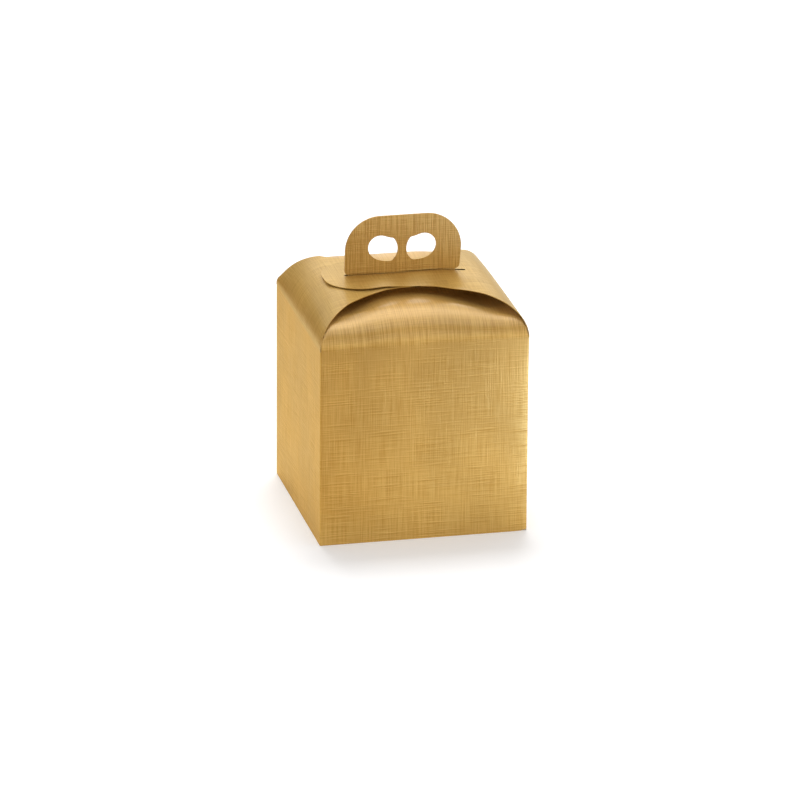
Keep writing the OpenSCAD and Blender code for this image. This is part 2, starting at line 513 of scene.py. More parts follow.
class Fibres(Effect):
    """Shader group: the short fibres and specks of bare board."""

    NAME = "board_fibres"
    PLACE = "Place"
    RESULTS = ("Fibre", "Speck")

    @classmethod
    def wire(cls, net: Wiring, given: bpy.types.NodeOutputs) -> tuple[Socket, ...]:
        """Gives a fibre height and a speck mask."""
        dots = net.noise(given["Place"], 420.0, 1.0, dimensions="3D")
        return net.noise(given["Place"], 900.0, 3.0, dimensions="3D"), net.ramp(dots, 0.68, 0.76)


@dataclass(frozen=True)
class GoldFoil:
    """Gold foil card with the linen emboss.

    The light colour lies on the threads and the darker one between them, as painted shade in the grooves;
    weft, warp, slub, relief and lacquer are strengths. Over the distance grow from the crease, gloss and
    lacquer change from the wall's. A fade gives two places along the sheet and the share of the threads,
    and of their painted shade, that is left after them. Start is the place on the wall where the sheet goes
    on, so that threads run through the crease.
    """

    name: str
    light: Triple = (0.63, 0.400, 0.118)
    shaded_colour: Triple = (0.480, 0.278, 0.064)
    edge_tint: Triple = (1.0, 0.88, 0.62)
    roughness: float = 0.34
    weft: float = 0.55
    warp: float = 1.0
    slub: float = 0.9
    relief: float = 0.35
    lacquer: float = 0.0
    grow: float = 0.0
    weft_fade: Optional[Triple] = None
    warp_fade: Optional[Triple] = None
    start: float = 0.0
    WALL_ROUGHNESS = 0.34
    EMBOSS_DEPTH = 0.0006

    def material(self) -> bpy.types.Material:
        """Builds the material.

        Returns:
            Satin metallic gold whose threads change its gloss and relief and paint shade into its colour
            between them.
        """
        mat, net = Wiring.material(self.name)
        across, along = net.split(net.add("ShaderNodeUVMap", uv_map=UV_NAME).outputs[0])
        linen = net.add("ShaderNodeGroup", {
            "Sheet": net.vector(across, net.math("ADD", along, self.start)),
            "Weft": self._faded(net, along, self.weft, self.weft_fade),
            "Warp": self._faded(net, along, self.warp, self.warp_fade),
            "Slub": self._faded(net, along, self.slub, self.weft_fade),
        }, node_tree=LinenEmboss.tree()).outputs
        # Painted shade: the mask of the grooves darkens the foil between the threads and under each slub, and
        # the slubs keep the light colour as a painted highlight.
        colour = net.mix(linen["GrooveAndShade"], (*self.light, 1.0), (*self.shaded_colour, 1.0))
        tone = net.ramp(linen["Tone"], 0.3, 0.7, 0.95, 1.04)
        rough = self._grown(net, along, self.WALL_ROUGHNESS, self.roughness)
        rough = net.math("MULTIPLY_ADD", linen["GrooveAndShade"], 0.10, rough)
        net.show(net.add("ShaderNodeBsdfPrincipled", {
            "Base Color": net.mix(1.0, colour, net.vector(tone, tone, tone), "MULTIPLY"),
            "Roughness": net.math("MULTIPLY_ADD", linen["Tone"], 0.08, rough),
            "Normal": net.relief(linen["Height"], self.relief, self.EMBOSS_DEPTH),
            "Metallic": 1.0,
            "Specular Tint": (*self.edge_tint, 1.0),
            "Coat Weight": self._grown(net, along, 0.0, self.lacquer),
            "Coat Roughness": 0.28,
            "Coat IOR": 1.9,
        }))
        return mat

    def _grown(self, net: Wiring, along: Socket, at_crease: float, away: float) -> object:
        """A value that starts like the wall at the crease."""
        return net.ramp(along, 0.0, self.grow, at_crease, away) if self.grow else away

    @staticmethod
    def _faded(net: Wiring, along: Socket, value: float, fade: Optional[Triple]) -> object:
        """A strength that gets weaker along the sheet, if it has a fade."""
        return net.ramp(along, fade[0], fade[1], value, value * fade[2]) if fade else value


@dataclass(frozen=True)
class BareBoard:
    """Uncoated board: the inside of the carton and the cut edges."""

    name: str
    pale: Triple = (0.88, 0.83, 0.71)
    dull: Triple = (0.76, 0.69, 0.55)
    roughness: float = 0.85

    def material(self) -> bpy.types.Material:
        """Builds the material.

        Returns:
            Matt board with fibres and specks.
        """
        mat, net = Wiring.material(self.name)
        pale, dull = (*self.pale, 1.0), (*self.dull, 1.0)
        place = net.add("ShaderNodeTexCoord").outputs["Object"]
        board = net.add("ShaderNodeGroup", {"Place": place}, node_tree=Fibres.tree()).outputs
        colour = net.mix(net.ramp(board["Fibre"], 0.35, 0.65, 0.35, 0.0), pale, dull)
        net.show(net.add("ShaderNodeBsdfPrincipled", {
            "Base Color": net.mix(net.math("MULTIPLY", board["Speck"], 0.5), colour, dull),
            "Normal": net.relief(board["Fibre"], 0.15, 0.0002),
            "Roughness": net.math("MULTIPLY_ADD", board["Fibre"], 0.1, self.roughness - 0.05),
        }))
        return mat


class Finish(Enum):
    """The finishes of the carton."""

    WALL = GoldFoil("gold_wall", weft=0.31, warp=0.48, slub=0.75, weft_fade=(0.150, 0.192, 0.55))
    # The shoulder's fades thin the threads, and their painted shade, over the band where the highlight lies.
    SHOULDER = GoldFoil("gold_shoulder", roughness=0.46, weft=0.35, warp=1.1, slub=0.4, relief=0.16,
                        lacquer=0.60, grow=0.024, weft_fade=(0.004, 0.030, 0.6),
                        warp_fade=(0.014, 0.036, 0.4), start=SIZES.wall_h)
    # Painted light: the top plates get whiter, less orange colours than the same card on the walls and
    # shoulders.
    PLATE = GoldFoil("gold_plate", light=(0.605, 0.408, 0.127), shaded_colour=(0.475, 0.292, 0.073),
                     edge_tint=(1.0, 0.92, 0.72), roughness=0.50, weft=0.4, warp=0.5, slub=0.25,
                     relief=0.12, lacquer=0.30, grow=0.030)
    HANDLE = GoldFoil("gold_handle", weft=0.7, warp=1.7, slub=0.4, relief=0.4, lacquer=0.3)
    BOTTOM = GoldFoil("gold_bottom")
    BOARD = BareBoard("board_inside")
    # Cut edges: bare board, made paler than the inside board as a painted highlight along rims that catch the
    # light.
    CUT = BareBoard("board_cut_lit_rim", (0.93, 0.85, 0.66), (0.80, 0.70, 0.50), 0.8)

    def made(self) -> bpy.types.Material:
        """Gives the material, which is built the first time."""
        return bpy.data.materials.get(self.value.name) or self.value.material()

    def dress(self, piece: Piece) -> None:
        """Gives a sheet this face and bare board, in the order of Slot.

        Args:
            piece: The sheet.
        """
        piece.data.materials.clear()
        for finish in (self, Finish.BOARD, Finish.CUT):
            piece.data.materials.append(finish.made())


@dataclass(frozen=True)
class Sag:
    """How far a bent flap's free edge droops: it starts over reach and fades between two places."""

    depth: float
    reach: float
    fade_from: float
    fade_to: float

    def start(self, inward: float) -> float:
        """Share of the droop that has started at a distance from a crease."""
        return 1.0 - math.exp(-max(0.0, inward) / self.reach)

    def at(self, inward: float) -> float:
        """Droop at a distance from the crease."""
        fade = 1.0 - max(0.0, inward - self.fade_from) / (self.fade_to - self.fade_from)
        return self.depth * self.start(inward) * max(0.0, fade)


@dataclass(frozen=True)
class TopSettling:
    """How the card of the closed top has settled: a drop that all layers at one place share."""

    right_front: Sag = Sag(0.0046, 0.0160, 0.028, 0.078)
    left_front: Sag = Sag(0.0042, 0.0120, 0.028, 0.075)
    right_back: Sag = Sag(0.0052, 0.0060, 0.024, 0.070)
    left_back: Sag = Sag(0.0080, 0.0025, 0.004, 0.034)
    right_flat: float = 0.0018
    EDGE_POWER = 2.2
    FLAT_FROM = Span(0.0, 0.012)
    FLAT_TO = Span(0.022, 0.050)

    def lower(self, co: Vector) -> Vector:
        """Lowers a point with the layers around it.

        Args:
            co: Point of a top flap.

        Returns:
            The point, lower near the free corners of the flaps.
        """
        if co.x < 0:
            sag = self.left_back if co.y > 0 else self.left_front
        else:
            sag = self.right_back if co.y > 0 else self.right_front
        inward = SIZES.half - abs(co.x)
        share = min(1.0, abs(co.y) / max(SIZES.tongue_half, abs(co.x))) ** self.EDGE_POWER
        start = sag.start(inward)
        crease = sag.start(SIZES.half - abs(co.y))
        drop = share * sag.at(inward) * (min(start, crease) / start if start > 0 else 0.0)
        if co.x > 0:
            flat = self.FLAT_FROM.at(inward) * (1.0 - self.FLAT_TO.at(inward))
            drop += self.right_flat * flat * (1.0 - share)
        return Vector((co.x, co.y, co.z - drop))


@dataclass
class Sleeve:
    """The four walls, folded from one strip of card."""

    half: float = SIZES.half
    height: float = SIZES.wall_h
    fold_r: float = 0.0010
    bow: float = 0.0005
    score: float = 0.00004
    score_h: float = 0.0012
    roll: float = 0.0012
    roll_w: float = 0.018
    cuts: int = 63

    def build(self) -> Piece:
        """Models the walls and dresses them.

        Returns:
            The piece.
        """
        piece = Bench.block("wall_sleeve", (0, 0, self.height / 2),
                            (2 * self.half, 2 * self.half, self.height))
        Bench.pick(piece, "FACE", lambda *corners: len({round(co.z, 4) for co in corners}) == 1)
        bpy.ops.mesh.delete(type="FACE")
        Bench.round_edges(piece, lambda a, b: abs(a.z - b.z) > self.height / 2, self.fold_r, 3)
        Bench.pick(piece, "EDGE", lambda a, b: (a - b).length > self.half)
        bpy.ops.mesh.subdivide(number_cuts=self.cuts)
        Bench.mode("OBJECT")
        Bench.settle(piece, self._relax)
        Finish.WALL.dress(piece)
        Bench.lay_uv(piece, self._unroll)
        Bench.thicken(piece)
        Bench.smooth(piece, 40.0)
        return piece

    def _relax(self, co: Vector) -> Vector:
        """Bows the panels in a little between their folds and presses in the score at the top.

        Args:
            co: Point of the flat panels.

        Returns:
            The point, moved.
        """
        x, y, z = co
        near = self.half - 0.0011
        rise = math.sin(math.pi * min(1.0, max(0.0, z / self.height)))
        press = self.score * Span(self.height - self.score_h, self.height).at(z)
        if abs(co.y) > near:
            y -= math.copysign(press + self.bow * rise * (1 - (co.x / self.half) ** 2), co.y)
        if co.y < -near:
            near_fold = max(0.0, co.x - self.half + self.roll_w) / self.roll_w
            y += self.roll * near_fold ** 2 * (1 - Span(0.75 * self.height, self.height).at(z))
        if abs(co.x) > near:
            x -= math.copysign(press + self.bow * rise * (1 - (co.y / self.half) ** 2), co.x)
        return Vector((x, y, z))

    def _unroll(self, co: Vector, normal: Vector) -> Point:
        """Place of a point on the flat strip.

        Args:
            co: The point.
            normal: Normal of its panel.

        Returns:
            Its place along and up the strip.
        """
        width = 2 * self.half
        if abs(normal.y) >= abs(normal.x):
            return (co.x, co.z) if normal.y < 0 else (2 * width - co.x, co.z)
        return (width + co.y, co.z) if normal.x > 0 else (-width - co.y, co.z)


@dataclass
class TopSheet:
    """A sheet of the top, modelled on the front side and turned to its own side."""

    name: str
    side: Side

    @staticmethod
    def wrap(sheet: Piece, angle: float, low: float, high: float, **more: object) -> None:
        """Bends a sheet by an angle between two shares of its length."""
        Bench.modify(sheet, "SIMPLE_DEFORM", deform_method="BEND", deform_axis="X", angle=angle,
                     limits=(low, high), **more)

    def form(self, sheet: Piece, face: Finish, place: Triple, outline: Piece,
             shape: Optional[Callable[[Vector], Vector]] = None) -> None:
        """Makes a bent sheet into card: dresses it, cuts it out, shapes it and turns it to its side.

        Args:
            sheet: The bent sheet.
            face: Finish of its outer face.
            place: Where its crease goes.
            outline: Block that it is cut to.
            shape: Takes each of its points to its place.
        """
        face.dress(sheet)
        sheet.location = place
        Bench.apply(sheet)
        Bench.thicken(sheet)
        outline.data.materials.append(Finish.CUT.made())
        Bench.cut(sheet, outline, "INTERSECT")
        if shape:
            Bench.settle(sheet, shape)
        sheet.rotation_euler = (0, 0, math.radians(self.side.value))
        Bench.apply(sheet)


@dataclass
class LockingFlap(TopSheet):
    """A side flap of the top: bowed shoulder, arched edges and a slotted tongue."""

    bend_r: float
    reach: float
    settling: TopSettling
    slot_from: float
    slot_end: float
    corner: float = SIZES.tongue_corner
    tilt: float = 0.0
    ridge: float = 0.0
    TURNS = tuple(math.radians(360.0 * step / 256) for step in range(256))
    CREST_Y = 0.045
    CURL_Y = 0.046
    CURL = 0.85
    LIFT_MIDDLE = 0.32
    LIFT_SIDES = 0.14
    RIDGE_X = Span(0.0, 0.028)
    RIDGE_FROM = Span(-0.056, -0.036)
    RIDGE_TO = Span(-0.012, 0.022)
    VALLEY = 0.45
    VALLEY_X = Span(0.006, 0.032)
    VALLEY_FROM = Span(0.036, 0.058)
    VALLEY_TO = Span(0.060, 0.076)

    def build(self) -> Piece:
        """Models the flap and dresses it.

        Returns:
            The piece.
        """
        s = SIZES
        arc = self.bend_r * math.pi / 2
        length = arc + s.half - self.bend_r + self.reach + 2 * s.spare
        sheet = Bench.blank(self.name, 2 * (s.half + s.spare), length, 84, int(length / 0.0024))
        self.wrap(sheet, math.pi / 2, 0.0, arc / length)
        self.form(sheet, Finish.PLATE, (0, -s.half, s.wall_h), self._outline(), self._lift)
        Bench.settle(sheet, self.settling.lower)
        Bench.smooth(sheet, 35.0)
        return sheet

    def _outline(self) -> Piece:
        """Makes the block that cuts the flap's outline and slot.

        Returns:
            The cutting block.
        """
        s = SIZES
        low, high = s.wall_h + s.crease_gap, s.wall_h + s.outer_r + 0.004
        below, above = low - 0.01, high + 0.01
        start, brim = s.arch_start, -s.half - s.spare
        shoulder = Bench.prism("shoulder_plan", [
            (-s.half, brim), (s.half, brim), (s.half, -s.half), (start, -start),
            (start, 0.0), (-start, 0.0), (-start, -start), (-s.half, -s.half)], low, high)
        for hand in (-1, 1):
            x, y = hand * (start + s.arch_offset), s.arch_offset - start
            ring = [(x + s.arch_r * math.cos(turn), y + s.arch_r * math.sin(turn)) for turn in self.TURNS]
            Bench.cut(shoulder, Bench.prism("arch", ring, below, above), "DIFFERENCE")
        tongue = Bench.prism("tongue_plan", [
            (-s.tongue_half, -0.05), (s.tongue_half, -0.05), (s.tongue_half, self.reach),
            (-s.tongue_half, self.reach)], low, high)
        Bench.round_edges(tongue, lambda a, b: abs(a.z - b.z) > 0.01 and a.y > 0, self.corner, 28)
        Bench.cut(shoulder, tongue, "UNION")
        gap = s.slot_w / 2
        slot = Bench.prism("slot_plan", [
            (-gap, -self.slot_from), (gap, -self.slot_from), (gap, self.slot_end), (-gap, self.slot_end)],
            below, above)
        Bench.round_edges(slot, lambda a, b: abs(a.z - b.z) > 0.01, s.slot_w * 0.49, 6)
        Bench.cut(shoulder, slot, "DIFFERENCE")
        return shoulder

    def _lift(self, co: Vector) -> Vector:
        """Lifts the tongue past the middle, curls its end down again and raises a ridge at the slot.

        Args:
            co: Point of the bent flap.

        Returns:
            The point, moved.
        """
        aside = abs(co.x)
        crest = math.sin(math.pi / 2 * min(1.0, max(0.0, co.y / self.CREST_Y)))
        curl = Span(self.CURL_Y, self.reach).at(co.y) * self.CURL
        arch = self.LIFT_MIDDLE + self.LIFT_SIDES * min(1.0, aside / SIZES.tongue_half) ** 2
        near = 0.5 - self.RIDGE_X.at(aside)
        near *= self.RIDGE_FROM.at(co.y) * (1.0 - self.RIDGE_TO.at(co.y))
        end = self.VALLEY_FROM.at(-co.y) * (1.0 - self.VALLEY_TO.at(-co.y))
        near -= self.VALLEY * end * (1.0 - self.VALLEY_X.at(aside))
        return Vector((co.x, co.y, co.z + self.tilt * (crest - curl) * arch + self.ridge * near))


@dataclass
class HandleFlap(TopSheet):
    """The front or back flap of the top, whose neck passes up through the slots."""

    settling: TopSettling
    tuck: list[Point]
    tuck_left: list[Point]
    settles: bool = True
    spring: float = 0.0
    dip: float = 0.0030
    press: float = 0.0
    press_left: float = 0.0
    press_right: float = 0.0
    bend_r: float = SIZES.front_r
    fold_r: float = 0.0012
    play: float = 0.0008
    SPRING_X = Span(0.025, 0.070)
    SPRING_Y = Span(0.035, 0.065)
    SPRING_POWER = 1.7
    LEFT_X = Span(0.020, 0.070)
    RIGHT_X = Span(0.0, 0.085)
    DIP_ARCH = Span(0.0, 0.026)
    DIP_Y = Span(0.004, 0.024)
    PLATE_Y = Span(0.064, 0.094)
    HELD_X = Span(0.056, 0.064)
    EXP_LIMIT = 40.0

    def build(self) -> Piece:
        """Models the flap and dresses it.

        Returns:
            The piece.
        """
        s = SIZES
        slope, plate = self._plate()
        turn = math.pi / 2 - slope
        arc, neck_arc = self.bend_r * turn, self.fold_r * turn
        flat = arc + plate - self.fold_r * math.tan(turn / 2)
        length = flat + neck_arc + s.fold_z - s.wall_h - s.plate_top - self.fold_r
        sheet = Bench.blank(self.name, 2 * s.half, length, 84, 96)
        Bench.clear()
        bpy.ops.object.empty_add(location=(0, 0, flat))
        pin = bpy.context.object
        self.wrap(sheet, -turn, flat / length, (flat + neck_arc) / length, origin=pin)
        bpy.data.objects.remove(pin)
        height = max(v.co.z for v in sheet.data.vertices)
        self.wrap(sheet, turn, 0.0, arc / height)
        self.form(sheet, Finish.SHOULDER, (0, -s.half, s.wall_h), self._outline(), self._crown)
        if self.settles:
            Bench.settle(sheet, self.settling.lower)
        Bench.smooth(sheet, 35.0)
        return sheet

    def _outline(self) -> Piece:
        """Makes the block that cuts the flap's outline.

        Returns:
            The cutting block.
        """
        s = SIZES
        side, brim = s.half - s.mitre_gap, -s.half - s.spare
        right = [(x - s.mitre_gap, y) for x, y in self.tuck]
        left = [(s.mitre_gap - x, y) for x, y in reversed(self.tuck_left)]
        return Bench.prism("flap_plan", [
            (-side, brim), (side, brim), (side, -s.half), *right,
            (s.plate_half, -0.004), (s.neck_half, -0.002), (s.neck_half, 0.002), (-s.neck_half, 0.002),
            (-s.neck_half, -0.002), (-s.plate_half, -0.004), *left, (-side, -s.half)],
            s.wall_h + s.crease_gap, s.fold_z)

    def _crown(self, co: Vector) -> Vector:
        """Presses the bend down where the locking flaps lie over it, and springs up its corners.

        Args:
            co: Point of the bent flap.

        Returns:
            The point, moved.
        """
        inward = max(0.0, co.y + SIZES.half)
        rise = max(0.0, co.z - SIZES.wall_h)
        spring = self.SPRING_X.at(abs(co.x)) * min(1.0, inward / SIZES.arch_inset) ** self.SPRING_POWER
        spring *= self.spring * (1.0 - self.SPRING_Y.at(inward))
        left = self.press_left * self.LEFT_X.at(-co.x)
        right = self.press_right * self.RIGHT_X.at(co.x)
        press = (self.press + left + right) * rise
        dip = self.dip * (1.0 - self.DIP_ARCH.at(self._to_arch(co))) * self.DIP_Y.at(inward)
        back = 1.0 - self.PLATE_Y.at(inward)
        move = spring - (press + dip) * back
        over = (SIZES.wall_h + self._profile(inward) + move - self._ceiling(co)) / self.play
        held = max(back, self.HELD_X.at(abs(co.x)))
        move -= self.play * math.log1p(math.exp(min(self.EXP_LIMIT, over))) * held
        return Vector((co.x, co.y, co.z + move))

    def _plate(self) -> tuple[float, float]:
        """Works out the plate between the bend and the neck.

        Returns:
            Its slope and its length.
        """
        run = SIZES.half - self.bend_r - SIZES.leaf_y - SIZES.card
        reach = math.hypot(run, SIZES.plate_top)
        slope = math.atan2(SIZES.plate_top, run) - math.asin(self.bend_r / reach)
        return slope, math.sqrt(reach ** 2 - self.bend_r ** 2)

    def _profile(self, inward: float) -> float:
        """Works out the height of the outer face over the crease, before the flap is pressed.

        Args:
            inward: Distance from the crease.

        Returns:
            The height.
        """
        slope = self._plate()[0]
        end = self.bend_r * (1 - math.sin(slope))
        if inward < end:
            return math.sqrt(max(0.0, self.bend_r ** 2 - (self.bend_r - inward) ** 2))
        return self.bend_r * math.cos(slope) + (inward - end) * math.tan(slope)

    def _ceiling(self, co: Vector) -> float:
        """Works out how high the flap may reach under the locking flap that lies over it.

        Args:
            co: Point of the flap.

        Returns:
            The height.
        """
        s = SIZES
        right = co.x > 0 if self.side is Side.FRONT else co.x < 0
        radius = s.outer_r if right else s.inner_r
        rest = max(0.0, radius - (s.half - abs(co.x)))
        top = Vector((co.x, co.y, s.wall_h + math.sqrt(max(0.0, radius ** 2 - rest ** 2))))
        return (top if self.settles else self.settling.lower(top)).z - s.card - self.play

    @staticmethod
    def _to_arch(co: Vector) -> float:
        """Distance in plan from a point to the arched edge that lies over the flap, 0 under it."""
        x, y = SIZES.arch_start - SIZES.arch_offset, SIZES.arch_start + SIZES.arch_offset
        return max(0.0, SIZES.arch_r - max(math.hypot(co.x - hand * x, co.y + y) for hand in (-1, 1)))


@dataclass
class HandleLeaf(TopSheet):
    """One of the two upright leaves of the handle, with its finger holes."""

    trim_left: float
    trim_right: float
    lobe: Point = (0.0211, 0.0257)
    lobe_r: float = 0.0117
    inner_top: Point = (0.0083, 0.0346)
    inner_low: Point = (0.0089, 0.0115)
    waist_x: float = 0.0041
    LOBE_FROM = math.radians(-40.0)
    LOBE_TO = math.radians(106.0)
    LOBE_STEPS = 32

    def build(self) -> Piece:
        """Models the leaf and dresses it.

        Returns:
            The piece.
        """
        s = SIZES
        foot = s.fold_z + s.crease_gap
        height = s.handle_top - foot
        leaf = Bench.blank(self.name, 2 * (s.handle_half + s.spare), height + 2 * s.spare, 60, 34)
        tool = self._outline(height)
        tool.rotation_euler = (math.pi / 2, 0, 0)
        tool.location = (0, 0, foot)
        Bench.apply(tool)
        self.form(leaf, Finish.HANDLE, (0, -s.leaf_y - s.card, foot - s.spare), tool)
        Bench.smooth(leaf, 30.0)
        return leaf

    def _outline(self, height: float) -> Piece:
        """Makes the block that cuts the leaf's outline and holes, lying flat with the foot at y = 0.

        Args:
            height: Height of the leaf.

        Returns:
            The cutting block.
        """
        s = SIZES
        corner = height - s.handle_corner
        right, left = s.handle_half - self.trim_right, self.trim_left - s.handle_half
        block = Bench.prism("leaf_plan", [
            (-s.handle_foot, 0.0), (s.handle_foot, 0.0), (right, corner), (right, height),
            (left, height), (left, corner)], -0.01, 0.01)
        Bench.round_edges(block, lambda a, b: abs(a.z - b.z) > 0.01 and a.y > height - s.spare,
                          s.handle_corner * 0.995, 32)
        Bench.round_edges(block, lambda a, b: abs(a.z - b.z) > 0.01 and a.y < s.spare, s.foot_corner, 8)
        for hand in (-1, 1):
            Bench.cut(block, self._hole(hand), "DIFFERENCE")
        return block

    def _hole(self, hand: int) -> Piece:
        """Makes the block that cuts one finger hole.

        Args:
            hand: 1 for the right hole, -1 for the left.

        Returns:
            The cutting block.
        """
        x, z = self.lobe
        points: list[Point] = []
        for step in range(self.LOBE_STEPS + 1):
            turn = self.LOBE_FROM + (self.LOBE_TO - self.LOBE_FROM) * step / self.LOBE_STEPS
            points.append((x + self.lobe_r * math.cos(turn), z + self.lobe_r * math.sin(turn)))
        start, end = Vector(points[-1]), Vector(points[0])
        top, low = Vector(self.inner_top), Vector(self.inner_low)
        leave = Vector((-math.sin(self.LOBE_TO), math.cos(self.LOBE_TO)))
        enter = Vector((-math.sin(self.LOBE_FROM), math.cos(self.LOBE_FROM)))
        top_in, top_out = top + Vector((0.0016, 0.0)), top + Vector((-0.0008, -0.0014))
        low_in, low_out = low + Vector((-0.0016, 0.0030)), low + Vector((0.0030, 0.0002))
        bulge = (8 * self.waist_x - top_out.x - low_in.x) / 6
        legs = (
            (start + leave * 0.0030, top_in + Vector((0.0028, 0.0005)), top_in, 10),
            (top + Vector((0.0004, 0.0)), top + Vector((-0.0003, -0.0005)), top_out, 5),
            (Vector((bulge, top.y - 0.0068)), Vector((bulge, low.y + 0.0068)), low_in, 16),
            (low + Vector((-0.0006, 0.0011)), low + Vector((0.0010, 0.0001)), low_out, 8),
            (Vector((0.0185, low.y + 0.0001)), end - enter * 0.0065, end, 12),
        )
        for lead, trail, stop, steps in legs:
            points += [tuple(spot) for spot in interpolate_bezier(start, lead, trail, stop, steps + 1)[1:]]
            start = stop
        points.pop()
        outline = [(hand * a, b) for a, b in points]
        if hand < 0:
            outline.reverse()
        return Bench.prism("finger_hole", outline, -0.02, 0.02)


@dataclass
class BottomFlap:
    """A flap of the bottom, flat apart from a tongue that may climb between two places."""

    name: str
    outline: list[Point]
    level: float
    climb_from: float = 0.0
    climb_to: float = 0.0
    climb: float = 0.0

    def build(self) -> Piece:
        """Models the flap and dresses it.

        Returns:
            The piece.
        """
        piece = Bench.prism(self.name, self.outline, self.level, self.level + SIZES.card)
        if self.climb:
            Bench.take(piece)
            Bench.mode("EDIT")
            for place in (self.climb_from, self.climb_to):
                bpy.ops.mesh.select_all(action="SELECT")
                bpy.ops.mesh.bisect(plane_co=(0, place, 0), plane_no=(0, 1, 0))
            Bench.mode("OBJECT")
            Bench.settle(piece, self._raise)
        Finish.BOTTOM.dress(piece)
        for poly in piece.data.polygons:
            if poly.normal.z > 0.5:
                poly.material_index = Slot.INSIDE.value
            elif poly.normal.z > -0.5:
                poly.material_index = Slot.CUT.value
        Bench.lay_uv(piece, lambda co, normal: (co.x, co.y))
        Bench.smooth(piece, 30.0)
        return piece

    def _raise(self, co: Vector) -> Vector:
        """Lifts the tongue over the flap that it locks."""
        share = min(1.0, max(0.0, (co.y - self.climb_from) / (self.climb_to - self.climb_from)))
        return Vector((co.x, co.y, co.z + share * self.climb))


@dataclass
class Carton:
    """The whole carton: what each piece stands for and what it rides on."""

    settled: TopSettling = TopSettling()

    def place(self, piece: Piece, body: str, *nodes: str) -> None:
        """Puts a piece on its body in place of its solids.

        Args:
            piece: The piece.
            body: Body that it rides on.
            *nodes: Solids that it stands for.
        """
        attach(piece, body)
        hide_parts(*nodes)
        LOG.info("%s: %d faces, on %s", piece.name, len(piece.data.polygons), body)

    def build(self) -> None:
        """Builds the walls, the bottom, the top and the handle."""
        self.place(Sleeve().build(), "carton", "front_wall", "back_wall", "left_wall", "right_wall")
        self._bottom()
        self._top()
        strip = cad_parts["glue_strip"]
        strip.data.materials.clear()
        strip.data.materials.append(Finish.BOARD.made())

    def _top(self) -> None:
        """Builds the four flaps of the top and the two leaves of the handle."""
        s, settled = SIZES, self.settled
        right = [(0.0985, -0.0985), (0.0980, -0.078), (0.0965, -0.052), (0.088, -0.028), (0.066, -0.016)]
        left = [(0.0990, -0.0978), (0.0965, -0.090), (0.0930, -0.078), (0.084, -0.054), (0.066, -0.030)]
        back = [(0.0985, -0.0980), (0.0955, -0.084), (0.089, -0.066), (0.078, -0.046), (0.062, -0.030)]
        sheets = [
            (LockingFlap("outer_locking_sheet", Side.RIGHT, s.outer_r, s.outer_reach, settled, 0.0615, 0.0556,
                         corner=0.034, tilt=0.0030, ridge=0.0019),
             "outer_locking_flap", ("outer_flap", "outer_tongue")),
            (LockingFlap("inner_locking_sheet", Side.LEFT, s.inner_r, s.inner_reach, settled, 0.0600, 0.0615),
             "inner_locking_flap", ("inner_flap", "inner_tongue")),
            (HandleFlap("front_shoulder_sheet", Side.FRONT, settled, right, left, settles=False, dip=0.0026,
                        press=0.045, press_left=0.12, press_right=0.21),
             "front_shoulder", ("front_flap",)),
            (HandleFlap("back_shoulder_sheet", Side.BACK, settled, back, back, spring=0.0022),
             "back_shoulder", ("back_flap",)),
            (HandleLeaf("front_leaf_sheet", Side.FRONT, 0.0012, -0.0009), "front_leaf", ("front_handle",)),
            (HandleLeaf("back_leaf_sheet", Side.BACK, -0.0009, 0.0012), "back_leaf", ("back_handle",)),
        ]
        for sheet, body, nodes in sheets:
            self.place(sheet.build(), body, *nodes)

    def _bottom(self) -> None:
        """Builds the four bottom flaps and their lock."""
        wide, taper, edge = 0.0994, 0.026, 0.005
        front_edge, lock, lock_half, side_edge = -0.019, 0.027, 0.040, 0.044
        flaps = {
            "bottom_front_flap": BottomFlap("bottom_front_sheet", [
                (-wide, -wide), (wide, -wide), (0.066, front_edge), (lock_half, front_edge),
                (lock_half, lock), (-lock_half, lock), (-lock_half, front_edge), (-0.066, front_edge)],
                0.0, front_edge, edge, 0.0027),
            "bottom_back_flap": BottomFlap("bottom_back_sheet", [
                (taper - wide, edge + 0.0003), (wide - taper, edge + 0.0003), (wide, wide),
                (-wide, wide)], 0.0018),
            "bottom_right_flap": BottomFlap("bottom_right_sheet", [
                (wide, -wide), (wide, wide), (side_edge, wide - taper), (side_edge, taper - wide)], 0.0009),
            "bottom_left_flap": BottomFlap("bottom_left_sheet", [
                (-wide, wide), (-wide, -wide), (-side_edge, taper - wide), (-side_edge, wide - taper)],
                0.0009),
        }
        for node, flap in flaps.items():
            self.place(flap.build(), "carton", node)


